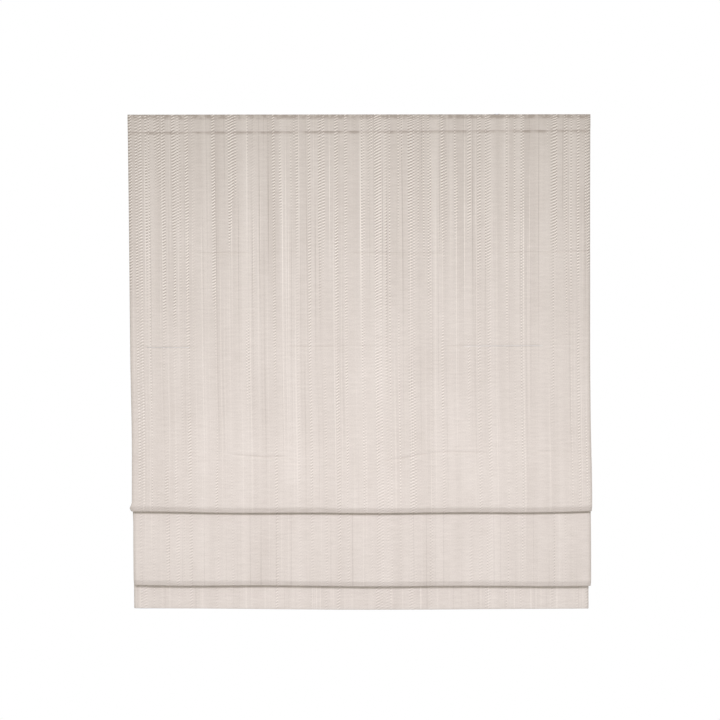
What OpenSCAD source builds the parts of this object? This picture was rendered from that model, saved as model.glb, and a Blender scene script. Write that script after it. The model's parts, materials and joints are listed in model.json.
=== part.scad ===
// Roman blind with a spring lift, drawn up part way so that the cloth hangs in two folds and a flap.
// Millimetres, +Z up. The wall is the plane y = 0 and the room lies towards -Y.
// The origin is the middle of the four wall screws, on the wall.

/* [Cloth] */
// Finished width of the cloth
cloth_w = 1000; // [700:10:1400]
// Finished drop of the cloth when it hangs flat
cloth_drop = 1600; // [1500:5:1700]
// Thickness of the cloth
cloth_t = 1.2; // [0.8:0.1:1.6]
// Height of the turned hem at the head
head_hem = 39; // [30:1:60]
// Width of the turned hem along each side
side_hem = 25; // [15:1:40]
// Height of the pocket in the bottom hem
bottom_hem = 32; // [30:1:50]
// How far the cloth stands above the rail to hide the brackets
head_rise = 6; // [6:0.5:10]

/* [Folds] */
// Drop from the cloth's head to the upper rod, along the cloth
first_rod_drop = 505; // [480:5:520]
// Length of the flap below the lower rod
flap_len = 250; // [200:5:300]
// Spacing of the rods, which share out the cloth between the upper rod and the flap
rod_pitch = (cloth_drop - first_rod_drop - flap_len) / 2;
// How far the front fold is drawn up, from 0 for flat to 1 for full
front_draw_share = 0.242; // [0.2:0.002:0.5]
// How far the back fold is drawn up, from 0 for flat to 1 for full
back_draw_share = 0.915; // [0.8:0.005:0.93]
// Radius of the fold lips, at the middle of the cloth
lip_r = 7; // [5:0.5:9]
// Radius where the cloth turns over below a rod
peak_r = 3; // [2.5:0.1:4]
// How far the front lip stands out from the flat panel
lip_reach = 20; // [16:1:30]
// Straight cloth in the front fold, between its turns
front_straight = rod_pitch - PI * (lip_r + peak_r / 2);
// Straight cloth in the back fold, between its turns
back_straight = rod_pitch - PI * (lip_r + peak_r);
// Drop from the head to the lip of the front fold, which follows from the rods and the draw
front_lip_drop = first_rod_drop + lip_r + front_straight * (1 - front_draw_share / 2);
// Drop from the head to the lip of the back fold, which follows from the rods and the draw
back_lip_drop = first_rod_drop + lip_r + front_straight * (1 - front_draw_share)
  + back_straight * (1 - back_draw_share / 2);

/* [Rods] */
// Diameter of a batten rod
rod_d = 5; // [4:0.5:6]
// Thickness of the pocket tape
pocket_t = 0.6; // [0.4:0.1:1]
// Length of the pocket's flat neck between the cloth and the rod
pocket_neck = 4; // [3:0.5:6]
// How far each rod stands out of its pocket
rod_end = 12; // [8:1:20]
// Outside diameter of a cord ring
ring_d = 14; // [13:0.5:16]
// Thickness of a cord ring's wire
ring_wire = 2; // [1.5:0.1:2.5]

/* [Rail] */
// Depth of the head rail, wall to room
rail_d = 28; // [28:0.5:34]
// Height of the head rail
rail_h = 34; // [34:0.5:40]
// Wall thickness of the head rail
rail_wall = 1.4; // [1:0.1:1.6]
// Inside height of the rail's top groove
groove_h = 7; // [6.5:0.5:8]
// Width of the slot between the groove's lips
groove_slot = 13.2; // [13:0.1:15]
// Width of each lip along the underside
floor_lip = 2.2; // [1.8:0.1:3]
// Width of the slot along the underside, between its lips
floor_slot = rail_d - 2 * (rail_wall + floor_lip);
// Thickness of an end cap's flange
cap_t = 3; // [2:0.5:5]
// Length of an end cap's plug
cap_plug = 12; // [8:1:20]

/* [Lift] */
// Distance from the cloth's side to the outer cord
cord_inset = 120; // [80:5:150]
// Distance between the outer cords, which keep their inset
cord_spread = cloth_w - 2 * cord_inset;
// Side of the square lift shaft
shaft_side = 6; // [5:0.5:6.5]
// Thickness of a cradle's floor
cradle_floor = 2; // [1.5:0.1:2.5]
// Room left above and below a spool in its cradle
spool_room = 1.6; // [1.2:0.1:3]
// Diameter of a spool's flanges, which fill the rail's channel above the cradle floor
flange_d = rail_h - groove_h - 3 * rail_wall - cradle_floor - spool_room;
// Height of a spool's flanges above its drum
flange_rise = 1.6; // [1.2:0.1:2.4]
// Diameter of a spool's drum
drum_d = flange_d - 2 * flange_rise;
// Length of a spool between the outsides of its flanges
spool_len = 46; // [30:1:70]
// Diameter of the journals that run in the cradles and the motor
journal_d = 9.9; // [9.5:0.1:10.5]
// Length of the spring motor
motor_len = 110; // [80:1:140]

/* [Brackets] */
// Distance between the two wall brackets
bracket_spread = 600; // [450:10:700]
// Thickness of the bracket steel
plate_t = 1.6; // [1.2:0.1:2]
// Width of a bracket's wall plate
plate_w = 24; // [20:1:40]
// Width of a bracket's arm
arm_w = 16; // [14:0.5:18]
// Reach of a lever's handle from its rivet
handle_reach = 14; // [12:0.5:14]
// Diameter of the wall screw holes
screw_hole_d = 4.5; // [3.5:0.1:5]
// Spacing of the screw holes up the plate
screw_pitch = 16; // [14:1:20]
// Room for screw heads between the plate and the rail
screw_room = 2.4; // [2:0.1:4]

/* [Bottom bar] */
// Thickness of the bottom bar
bar_t = 3.6; // [3:0.1:3.8]
// Height of the bottom bar
bar_h = 25; // [20:0.5:26]

/* [Hidden] */

$fn = 64;

// Clearances and the overrun of every cut
cut = 1;
running = 0.05;
sliding = 0.2;
apart = 0.3;

// Small sizes of the rail and its caps
rail_corner_r = 1.5;
floor_lip_t = rail_wall;
plug_wall = 1.6;
cap_rim = 2.5;
cap_relief = 0.8;
rail_top_z = screw_pitch / 2 + 5;
rail_len = cloth_w - 2 * cap_t;
rail_mid_y = -(plate_t + screw_room + rail_d / 2);
rail_front_y = rail_mid_y - rail_d / 2;
rail_bottom_z = rail_top_z - rail_h;
rail_inside_w = rail_d - 2 * rail_wall;
groove_floor_z = rail_top_z - rail_wall - groove_h;
channel_top_z = groove_floor_z - rail_wall;
channel_floor_z = rail_bottom_z + floor_lip_t;
channel_h = channel_top_z - channel_floor_z;

// Lever, rivet and arm heights
lever_t = 2.2;
wing_t = 2.5;
wing_room = 2.6;
wing_w = groove_slot - 2 * wing_room;
wing_len = rail_inside_w - 2 * wing_room;
handle_w = 7;
bracket_x = bracket_spread / 2;
rivet_d = 4;
rivet_head_d = 8;
rivet_foot_d = 7;
rivet_head_t = 1.2;
arm_fillet_r = 1.4;
plate_corner_r = 3;
plate_edge = 9;
lever_low_z = rail_top_z + apart;
arm_low_z = lever_low_z + lever_t + apart;
arm_top_z = arm_low_z + plate_t;
plate_low_z = -screw_pitch / 2 - plate_edge;
wing_top_z = rail_top_z - rail_wall - apart;
wing_low_z = wing_top_z - wing_t;
lever_neck_d = groove_slot - 4 * apart;

// Tapes between the rail and the cloth
tape_h = 20;
tape_t = 1.5;
tape_inset = 5;
tape_top_z = rail_top_z - (rail_h - tape_h) / 2;
tape_len = cloth_w - 2 * tape_inset;
hook_y = rail_front_y - tape_t;
loop_y = hook_y - tape_t;

// Lift parts, set on one axis inside the lower channel
cradle_wall = 2.5;
cradle_side = 1.6;
cradle_side_h = 6;
cord_hole_d = 4;
cord_boss_d = 8;
flange_t = 1.5;
motor_corner_r = 2;
motor_gap = 0.4;
motor_ring_w = 9;
motor_ring_rise = 0.9;
shoulder_len = 7;
cord_y = rail_mid_y + rail_d / 11;
shaft_end = 20;
cradle_len = spool_len + 2 * (cradle_wall + apart);
shaft_len = cord_spread + cradle_len + 2 * shaft_end;
shaft_z = channel_floor_z + cradle_floor + flange_d / 2 + apart;
cradle_w = rail_inside_w - 2 * sliding;
cord_xs = [-cord_spread / 2, 0, cord_spread / 2];
motor_x = -cord_spread / 4;

// The hanging cloth, as a path of (y, z) points down its middle
turn_steps = 12;
bow_steps = 12;
hem_turn_r = bar_t / 2 + sliding * 2 + cloth_t / 2;
cloth_top_z = rail_top_z + head_rise;
panel_y = loop_y - 3 / 2 * cloth_t;
front_lip_y = panel_y - lip_reach + lip_r;
front_peak_y = panel_y + rod_d / 2 + pocket_neck;
back_lip_y = front_lip_y + lip_reach / 2;
back_peak_y = front_peak_y + 2 * pocket_neck;
flap_y = back_peak_y + peak_r;
// Behind each lip the drawn-up cloth runs back to the turn below its rod
front_lip_depth = front_lip_drop - lip_r;
front_peak_depth = front_lip_depth - front_straight / 2 * front_draw_share;
back_lip_depth = back_lip_drop - lip_r;
back_peak_depth = back_lip_depth - back_straight / 2 * back_draw_share;
hem_depth = back_peak_depth + flap_len - PI * peak_r / 2 - hem_turn_r;
hem_z = cloth_top_z - hem_depth;

function at_depth(d) = cloth_top_z - d;
function ease(t) = t * t * (3 - 2 * t);
function turn(y, depth, r, start, sweep) =
  [for (i = [0:turn_steps])
    [y, at_depth(depth)] + r * [cos(start + sweep * i / turn_steps), sin(start + sweep * i / turn_steps)]];
function bow() =
  [for (i = [0:bow_steps - 1])
    let (t = i / bow_steps)
    [panel_y - lip_reach * ease(t),
      at_depth(first_rod_drop + (front_lip_depth - first_rod_drop) * t)]];

folded_run = concat(
  bow(),
  turn(front_lip_y, front_lip_depth, lip_r, 180, 180),
  turn(front_peak_y, front_peak_depth, peak_r, 180, -180),
  turn(back_lip_y, back_lip_depth, lip_r, 180, 180),
  turn(back_peak_y, back_peak_depth, peak_r, 180, -180));
cloth_path = concat(
  [[panel_y, cloth_top_z]],
  folded_run,
  turn(flap_y + hem_turn_r, hem_depth, hem_turn_r, 180, 180),
  [[flap_y + 2 * hem_turn_r, hem_z + bottom_hem]]);
side_path = concat(
  [[panel_y, at_depth(head_hem)]],
  folded_run,
  [[flap_y, hem_z + bottom_hem + cloth_t]]);

function last(list) = len(list) - 1;
function heading(path, i) = path[min(i + 1, last(path))] - path[max(i - 1, 0)];
function face_normal(path, i) = let (d = heading(path, i)) [d[1], -d[0]] / norm(d);
// Outline of a strip that reaches to the face and to the back of a path
function strip(path, face, back) = concat(
  [for (i = [0:last(path)]) path[i] + face * face_normal(path, i)],
  [for (i = [last(path):-1:0]) path[i] - back * face_normal(path, i)]);

// Rods, pockets and rings
seat_gap = sliding;
tip_wall = 1;
tip_len = 8;
pocket_in_r = rod_d / 2 + sliding;
pocket_out_r = pocket_in_r + pocket_t;
pocket_len = cloth_w - 2 * (side_hem + rod_end);
rod_len = pocket_len + 2 * rod_end;
pocket_reach = cloth_t / 2 + seat_gap + pocket_neck + pocket_out_r;
upper_rod = [panel_y + pocket_reach, at_depth(first_rod_drop)];
middle_rod = [front_peak_y, at_depth(front_peak_depth) + peak_r + pocket_reach];
lower_rod = [back_peak_y, at_depth(back_peak_depth) + peak_r + pocket_reach];
rods = [upper_rod, middle_rod, lower_rod];

// Bottom bar
bar_cap_t = 3;
bar_cap_grip = 8;
bar_cap_wall = 0.3;
bar_inset = 2;
bar_len = cloth_w - 2 * (bar_inset + bar_cap_t);
bar_y = flap_y + hem_turn_r;
bar_corner_r = bar_t / 4;

// Draws a (y, z) section as a bar along X, centred on x
module along_x(length, x = 0) {
  translate([x - length / 2, 0, 0])
    rotate([90, 0, 90])
      linear_extrude(height = length)
        children();
}

module round_rect(w, h, r) {
  square([w - 2 * r, h], center = true);
  square([w, h - 2 * r], center = true);
  for (sx = [-1, 1], sy = [-1, 1])
    translate([sx * (w / 2 - r), sy * (h / 2 - r)])
      circle(r);
}

// A (y, z) rectangle on the rail's middle, between two heights
module rail_band(w, low, high) {
  translate([rail_mid_y - w / 2, low])
    square([w, high - low]);
}

module rail_outline() {
  translate([rail_mid_y, rail_top_z - rail_h / 2])
    round_rect(rail_d, rail_h, rail_corner_r);
}

module head_rail() {
  color("silver")
    along_x(rail_len)
      difference() {
        rail_outline();
        rail_band(rail_inside_w, groove_floor_z, rail_top_z - rail_wall);
        rail_band(groove_slot, groove_floor_z, rail_top_z + cut);
        rail_band(rail_inside_w, channel_floor_z, channel_top_z);
        rail_band(floor_slot, rail_bottom_z - cut, channel_floor_z + cut);
      }
}

// Flange with a sunk panel outside the rail, a hollow plug in the channel and a tongue in the groove
module end_cap(side) {
  flange_x = side * (rail_len / 2 + cap_t / 2);
  plug_x = side * (rail_len / 2 - cap_plug / 2);
  color("whitesmoke") {
    difference() {
      along_x(cap_t, flange_x)
        rail_outline();
      along_x(cap_relief + cut, side * (cloth_w + cut - cap_relief) / 2)
        translate([rail_mid_y, rail_top_z - rail_h / 2])
          round_rect(rail_d - 2 * cap_rim, rail_h - 2 * cap_rim, rail_corner_r);
    }
    difference() {
      along_x(cap_plug, plug_x)
        rail_band(rail_inside_w - 2 * sliding, channel_floor_z + sliding, channel_top_z - sliding);
      along_x(cap_plug, plug_x - side * plug_wall)
        rail_band(rail_inside_w - 2 * (sliding + plug_wall),
          channel_floor_z + sliding + plug_wall, channel_top_z - sliding - plug_wall);
    }
    along_x(cap_plug, plug_x)
      rail_band(rail_inside_w - 2 * sliding, groove_floor_z + sliding, rail_top_z - rail_wall - sliding);
  }
}

module end_cap_left() { end_cap(-1); }
module end_cap_right() { end_cap(1); }

module screw_holes() {
  for (s = [-1, 1])
    translate([0, s * screw_pitch / 2])
      circle(d = screw_hole_d);
}

// Folded steel: a plate on the wall and an arm over the rail
module wall_bracket(side) {
  translate([side * bracket_x, 0, 0])
    color("gainsboro") {
      rotate([90, 0, 0])
        linear_extrude(height = plate_t)
          difference() {
            translate([0, (plate_low_z + arm_top_z) / 2])
              round_rect(plate_w, arm_top_z - plate_low_z, plate_corner_r);
            screw_holes();
          }
      translate([0, 0, arm_low_z])
        linear_extrude(height = plate_t)
          difference() {
            union() {
              translate([-arm_w / 2, rail_mid_y])
                square([arm_w, -rail_mid_y]);
              translate([0, rail_mid_y])
                circle(d = arm_w);
            }
            translate([0, rail_mid_y])
              circle(d = rivet_d + 2 * running);
          }
      along_x(arm_w)
        translate([-plate_t - arm_fillet_r, arm_low_z - arm_fillet_r])
          difference() {
            square(arm_fillet_r);
            circle(arm_fillet_r);
          }
    }
}

module wall_bracket_left() { wall_bracket(-1); }
module wall_bracket_right() { wall_bracket(1); }

// Disc and handle above the rail's lips, neck in the slot, wings under the lips
module bracket_lever(side) {
  translate([side * bracket_x, rail_mid_y, 0])
    color("ivory")
      difference() {
        union() {
          translate([0, 0, lever_low_z])
            linear_extrude(height = lever_t) {
              circle(d = arm_w);
              translate([0, -handle_w / 2])
                square([handle_reach - handle_w / 2, handle_w]);
              translate([handle_reach - handle_w / 2, 0])
                circle(d = handle_w);
            }
          translate([0, 0, wing_low_z])
            cylinder(d = lever_neck_d, h = lever_low_z - wing_low_z);
          translate([0, 0, wing_low_z])
            linear_extrude(height = wing_t)
              intersection() {
                circle(d = wing_len);
                square([wing_w, wing_len], center = true);
              }
        }
        translate([0, 0, wing_low_z - cut])
          cylinder(d = rivet_d + 2 * running, h = arm_top_z - wing_low_z);
      }
}

module bracket_lever_left() { bracket_lever(-1); }
module bracket_lever_right() { bracket_lever(1); }

module lever_rivet(side) {
  foot_z = wing_low_z - apart - rivet_head_t;
  translate([side * bracket_x, rail_mid_y, 0])
    color("lightgray") {
      translate([0, 0, arm_top_z])
        cylinder(d1 = rivet_head_d, d2 = rivet_foot_d, h = rivet_head_t);
      translate([0, 0, foot_z])
        cylinder(d = rivet_d, h = arm_top_z - foot_z + rivet_head_t / 2);
      translate([0, 0, foot_z])
        cylinder(d = rivet_foot_d, h = rivet_head_t);
    }
}

module lever_rivet_left() { lever_rivet(-1); }
module lever_rivet_right() { lever_rivet(1); }

module tape(y) {
  along_x(tape_len)
    translate([y, tape_top_z - tape_h])
      square([tape_t, tape_h]);
}

module hook_tape() { color("white") tape(hook_y); }
module loop_tape() { color("linen") tape(loop_y); }

module on_shaft(x) {
  translate([x, rail_mid_y, shaft_z])
    rotate([0, 90, 0])
      children();
}

module square_hole(length) {
  cube([shaft_side + 2 * sliding, shaft_side + 2 * sliding, length], center = true);
}

module lift_shaft() {
  color("silver")
    on_shaft(0)
      cube([shaft_side, shaft_side, shaft_len], center = true);
}

// Drum between two flanges, with a sloped shoulder that feeds the turns along and a journal at each end
module cord_spool(i) {
  journal_len = spool_len + 2 * (apart + cradle_wall);
  color("white")
    on_shaft(cord_xs[i])
      difference() {
        union() {
          cylinder(d = drum_d, h = spool_len, center = true);
          for (s = [-1, 1])
            translate([0, 0, s * (spool_len - flange_t) / 2])
              cylinder(d = flange_d, h = flange_t, center = true);
          translate([0, 0, flange_t - spool_len / 2])
            cylinder(d1 = flange_d, d2 = drum_d, h = shoulder_len);
          cylinder(d = journal_d, h = journal_len, center = true);
        }
        square_hole(journal_len + 2 * cut);
      }
}

module cord_spool_left() { cord_spool(0); }
module cord_spool_middle() { cord_spool(1); }
module cord_spool_right() { cord_spool(2); }

// Open tray on the rail's floor lips: two round-topped bearing walls, low sides and a cord outlet
module spool_cradle(i) {
  wall_x = (cradle_len - cradle_wall) / 2;
  top_z = channel_top_z - motor_gap;
  color("gainsboro")
    translate([cord_xs[i], 0, 0])
      difference() {
        union() {
          along_x(cradle_len)
            rail_band(cradle_w, channel_floor_z, channel_floor_z + cradle_floor);
          for (s = [-1, 1])
            along_x(cradle_wall, s * wall_x) {
              rail_band(cradle_w, channel_floor_z, shaft_z);
              translate([rail_mid_y, shaft_z])
                circle(top_z - shaft_z);
            }
          along_x(cradle_len)
            difference() {
              rail_band(cradle_w, channel_floor_z, channel_floor_z + cradle_side_h);
              rail_band(cradle_w - 2 * cradle_side, channel_floor_z + cradle_floor, top_z);
            }
          translate([0, cord_y, rail_bottom_z])
            cylinder(d = cord_boss_d, h = floor_lip_t + cradle_floor / 2);
        }
        translate([0, rail_mid_y, shaft_z])
          rotate([0, 90, 0])
            cylinder(d = journal_d + 2 * running, h = cradle_len + 2 * cut, center = true);
        translate([0, cord_y, rail_bottom_z - cut])
          cylinder(d = cord_hole_d, h = floor_lip_t + cradle_floor + 2 * cut);
      }
}

module spool_cradle_left() { spool_cradle(0); }
module spool_cradle_middle() { spool_cradle(1); }
module spool_cradle_right() { spool_cradle(2); }

// Case on a foot that sits on the floor lips, with a raised ring at each end and at the middle
module spring_motor() {
  motor_h = channel_h - motor_gap;
  case_mid = [rail_mid_y, channel_floor_z + motor_h / 2];
  color("dimgray")
    difference() {
      union() {
        along_x(motor_len, motor_x) {
          translate(case_mid)
            round_rect(cradle_w - 2 * motor_ring_rise, motor_h - 2 * motor_ring_rise, motor_corner_r);
          rail_band(cradle_w, channel_floor_z, channel_floor_z + cradle_floor);
        }
        for (s = [-1, 0, 1])
          along_x(motor_ring_w, motor_x + s * (motor_len - motor_ring_w) / 2)
            translate(case_mid)
              round_rect(cradle_w, motor_h, motor_corner_r);
      }
      on_shaft(motor_x)
        cylinder(d = journal_d + 2 * running, h = motor_len + 2 * cut, center = true);
    }
}

module motor_sleeve() {
  sleeve_len = motor_len + 2 * cradle_wall;
  color("white")
    on_shaft(motor_x)
      difference() {
        cylinder(d = journal_d, h = sleeve_len, center = true);
        square_hole(sleeve_len + 2 * cut);
      }
}

// One woven sheet: the folded run, doubled at the head, along both sides and round the bottom bar
module shade_cloth() {
  color("antiquewhite") {
    along_x(cloth_w)
      polygon(strip(cloth_path, cloth_t / 2, cloth_t / 2));
    for (s = [-1, 1])
      along_x(side_hem, s * (cloth_w - side_hem) / 2)
        polygon(strip(side_path, 0, 3 / 2 * cloth_t));
    along_x(cloth_w)
      translate([panel_y, at_depth(head_hem)])
        square([3 / 2 * cloth_t, head_hem]);
    along_x(cloth_w)
      translate([flap_y, hem_z + bottom_hem - cloth_t])
        square([2 * hem_turn_r, cloth_t]);
  }
}

// Sewn tape: a flat neck on the cloth and a loop round the rod
module rod_pocket(i, neck_angle) {
  neck_len = pocket_neck + pocket_out_r;
  color("oldlace")
    along_x(pocket_len)
      translate(rods[i])
        difference() {
          union() {
            circle(pocket_out_r);
            rotate(neck_angle)
              translate([0, -pocket_t])
                square([neck_len, 2 * pocket_t]);
          }
          circle(pocket_in_r);
        }
}

module rod_pocket_upper() { rod_pocket(0, 180); }
module rod_pocket_middle() { rod_pocket(1, 270); }
module rod_pocket_lower() { rod_pocket(2, 270); }

module batten_rod(i) {
  color("ivory")
    along_x(rod_len)
      translate(rods[i])
        circle(d = rod_d);
}

module batten_rod_upper() { batten_rod(0); }
module batten_rod_middle() { batten_rod(1); }
module batten_rod_lower() { batten_rod(2); }

// A cup on each end of each rod
module rod_tips() {
  tip_d = rod_d + 2 * (running + tip_wall);
  color("white")
    for (rod = rods, s = [-1, 1])
      translate([s * (rod_len / 2 - tip_len), rod[0], rod[1]])
        rotate([0, s * 90, 0])
          difference() {
            cylinder(d = tip_d, h = tip_len + tip_wall);
            translate([0, 0, -cut])
              cylinder(d = rod_d + 2 * running, h = tip_len + cut);
          }
}

// Flat rings behind a pocket, one on the line of each cord
module cord_rings(i) {
  ring_y = rods[i][0] + pocket_out_r + seat_gap + ring_d / 2;
  color("white")
    for (x = cord_xs)
      translate([x, ring_y, rods[i][1]])
        rotate_extrude()
          translate([(ring_d - ring_wire) / 2, 0])
            circle(d = ring_wire);
}

module cord_rings_upper() { cord_rings(0); }
module cord_rings_middle() { cord_rings(1); }
module cord_rings_lower() { cord_rings(2); }

module bottom_bar() {
  color("silver")
    along_x(bar_len)
      translate([bar_y, hem_z + bar_h / 2])
        round_rect(bar_t, bar_h, bar_corner_r);
}

// A thin cup over each end of the bar
module bar_cap(side) {
  color("whitesmoke")
    difference() {
      along_x(bar_cap_grip + bar_cap_t, side * (bar_len / 2 + (bar_cap_t - bar_cap_grip) / 2))
        translate([bar_y, hem_z + bar_h / 2])
          round_rect(bar_t + 2 * bar_cap_wall, bar_h + 2 * bar_cap_wall, bar_corner_r);
      along_x(bar_cap_grip + cut, side * (bar_len / 2 - (bar_cap_grip + cut) / 2))
        translate([bar_y, hem_z + bar_h / 2])
          round_rect(bar_t + 2 * running, bar_h + 2 * running, bar_corner_r);
    }
}

module bar_cap_left() { bar_cap(-1); }
module bar_cap_right() { bar_cap(1); }

head_rail();
end_cap_left();
end_cap_right();
wall_bracket_left();
wall_bracket_right();
bracket_lever_left();
bracket_lever_right();
lever_rivet_left();
lever_rivet_right();
hook_tape();
loop_tape();
lift_shaft();
cord_spool_left();
cord_spool_middle();
cord_spool_right();
spool_cradle_left();
spool_cradle_middle();
spool_cradle_right();
spring_motor();
motor_sleeve();
shade_cloth();
rod_pocket_upper();
rod_pocket_middle();
rod_pocket_lower();
batten_rod_upper();
batten_rod_middle();
batten_rod_lower();
rod_tips();
cord_rings_upper();
cord_rings_middle();
cord_rings_lower();
bottom_bar();
bar_cap_left();
bar_cap_right();
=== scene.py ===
# %% [markdown]
# # A roman blind, drawn up part way
# The blind is one woven cloth that hangs from a slim rail. Three thin rods are sewn across its back, and
# raising the rods stacks the cloth in soft folds. The hard pieces come ready made from the CAD frame,
# with their true sizes, so this lesson only gives them a finish. Everything sewn is modelled here.

import json
import math

import bpy
import numpy as np
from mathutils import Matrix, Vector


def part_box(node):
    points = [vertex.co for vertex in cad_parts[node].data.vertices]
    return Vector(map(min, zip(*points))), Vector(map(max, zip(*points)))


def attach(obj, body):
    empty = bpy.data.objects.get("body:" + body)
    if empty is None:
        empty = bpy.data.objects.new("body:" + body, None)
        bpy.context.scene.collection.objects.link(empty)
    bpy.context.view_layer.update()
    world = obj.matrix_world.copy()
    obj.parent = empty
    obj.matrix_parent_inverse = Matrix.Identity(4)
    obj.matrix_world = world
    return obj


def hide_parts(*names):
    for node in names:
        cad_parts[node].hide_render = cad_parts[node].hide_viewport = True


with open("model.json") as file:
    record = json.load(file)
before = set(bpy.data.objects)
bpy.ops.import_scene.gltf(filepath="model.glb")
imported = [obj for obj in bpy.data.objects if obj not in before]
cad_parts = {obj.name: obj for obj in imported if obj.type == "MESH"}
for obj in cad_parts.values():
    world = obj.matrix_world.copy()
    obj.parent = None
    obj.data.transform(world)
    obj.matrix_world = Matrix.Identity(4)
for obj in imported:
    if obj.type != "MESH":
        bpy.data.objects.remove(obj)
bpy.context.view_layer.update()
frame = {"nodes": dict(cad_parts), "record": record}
print("pieces in the frame:", len(frame["nodes"]))

# %% [markdown]
# ## Finishes for the hard pieces
# The rail is satin anodised aluminium, drawn through a die, so its fine lines run along its length. The
# brackets and the shaft are zinc plated steel with a cloudy bloom. The spools, caps and rings are moulded
# plastic with a faint grain, and the rods are drawn glass fibre. A flat colour would look like a drawing,
# so each finish gets a stretched noise for its colour, its roughness and a very small bump. One helper
# wires these nodes, because the finishes differ only in colour, stretch and strength.

# %% Small helpers for nodes


def new_finish(name):
    """A new material and its shader."""
    material = bpy.data.materials.new(name)
    material.use_nodes = True
    return material, material.node_tree.nodes["Principled BSDF"]


def node(material, kind, **settings):
    made = material.node_tree.nodes.new(kind)
    for name, value in settings.items():
        setattr(made, name, value)
    return made


def link(material, from_node, from_socket, to_node, to_socket):
    material.node_tree.links.new(from_node.outputs[from_socket], to_node.inputs[to_socket])


def two_colours(material, dark, light):
    """A colour ramp from dark to light."""
    colours = node(material, "ShaderNodeValToRGB")
    colours.color_ramp.elements[0].color = (*dark, 1)
    colours.color_ramp.elements[1].color = (*light, 1)
    return colours


# %% A helper that wires one hard finish
grain_dark_at = 0.3
grain_light_at = 0.7
grain_detail = 4.0
grain_deep = 0.0004
gloss_swing = 0.07


def grained_finish(name, dark, light, rough, stretch, bump, metallic=0.0):
    material, shader = new_finish(name)
    shader.inputs["Metallic"].default_value = metallic
    place = node(material, "ShaderNodeTexCoord")
    scale = node(material, "ShaderNodeMapping")
    scale.inputs["Scale"].default_value = stretch
    link(material, place, "Object", scale, "Vector")
    grain = node(material, "ShaderNodeTexNoise")
    grain.inputs["Scale"].default_value = 1.0
    grain.inputs["Detail"].default_value = grain_detail
    link(material, scale, "Vector", grain, "Vector")
    colours = two_colours(material, dark, light)
    colours.color_ramp.elements[0].position = grain_dark_at
    colours.color_ramp.elements[1].position = grain_light_at
    link(material, grain, "Fac", colours, "Fac")
    link(material, colours, "Color", shader, "Base Color")
    gloss = node(material, "ShaderNodeMapRange")
    gloss.inputs["To Min"].default_value = rough - gloss_swing
    gloss.inputs["To Max"].default_value = rough + gloss_swing
    link(material, grain, "Fac", gloss, "Value")
    link(material, gloss, "Result", shader, "Roughness")
    relief = node(material, "ShaderNodeBump")
    relief.inputs["Strength"].default_value = bump
    relief.inputs["Distance"].default_value = grain_deep
    link(material, grain, "Fac", relief, "Height")
    link(material, relief, "Normal", shader, "Normal")
    return material


# %% The hard finishes themselves
finishes = {
    "rail_metal": grained_finish(
        "satin_rail", (0.66, 0.66, 0.67), (0.80, 0.80, 0.81),
        rough=0.38, stretch=(6, 1800, 1800), bump=0.15, metallic=1.0),
    "bracket_steel": grained_finish(
        "zinc_plate", (0.50, 0.51, 0.53), (0.74, 0.75, 0.76),
        rough=0.42, stretch=(160, 160, 160), bump=0.12, metallic=1.0),
    "white_plastic": grained_finish(
        "white_moulding", (0.78, 0.78, 0.76), (0.84, 0.84, 0.82),
        rough=0.45, stretch=(1400, 1400, 1400), bump=0.10),
    "grey_plastic": grained_finish(
        "grey_moulding", (0.25, 0.26, 0.27), (0.31, 0.32, 0.33),
        rough=0.50, stretch=(1400, 1400, 1400), bump=0.14),
    "rod_resin": grained_finish(
        "drawn_rod", (0.70, 0.66, 0.54), (0.80, 0.77, 0.67),
        rough=0.36, stretch=(9, 2600, 2600), bump=0.12),
}
for part in frame["record"]["subparts"]:
    if part["material_slot"] in finishes:
        slots = frame["nodes"][part["node"]].data.materials
        slots.clear()
        slots.append(finishes[part["material_slot"]])
print("hard finishes:", len(finishes))

# %% [markdown]
# ## The woven cloth
# The cloth is a pale weave like linen. Thick and thin warp threads make it streaky from top to bottom,
# with a fine grain and slow patches over them. A picture could be stretched over it, but a weave drawn
# with nodes stays sharp from every side. The nodes read a map in metres, across the cloth and along it,
# so the pattern runs round the folds as the threads do. Each kind of mark is a tone round zero, and the
# tones are added up.

# %% Arithmetic with nodes


def mathematics(material, operation, first, second=None, clamp=False):
    made = node(material, "ShaderNodeMath", operation=operation, use_clamp=clamp)
    for socket, value in zip(made.inputs, (first, second)):
        if isinstance(value, (int, float)):
            socket.default_value = value
        elif value is not None:
            material.node_tree.links.new(value, socket)
    return made.outputs[0]


def chained(material, operation, values):
    result = values[0]
    for value in values[1:]:
        result = mathematics(material, operation, result, value)
    return result


def plus(material, *values):
    return chained(material, "ADD", values)


def times(material, *values):
    return chained(material, "MULTIPLY", values)


def minus(material, first, second):
    return mathematics(material, "SUBTRACT", first, second)


def centred(material, value, strength):
    """A value from zero to one as a tone round zero."""
    return times(material, minus(material, value, 0.5), strength)


# %% Patterns with nodes


def ramp(material, value, low, high, to_low=0.0, to_high=1.0):
    """A smooth step, from to_low where the value is low to to_high where it is high."""
    made = node(material, "ShaderNodeMapRange", interpolation_type="SMOOTHSTEP")
    made.inputs["From Min"].default_value = low
    made.inputs["From Max"].default_value = high
    made.inputs["To Min"].default_value = to_low
    made.inputs["To Max"].default_value = to_high
    material.node_tree.links.new(value, made.inputs["Value"])
    return made.outputs["Result"]


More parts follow.
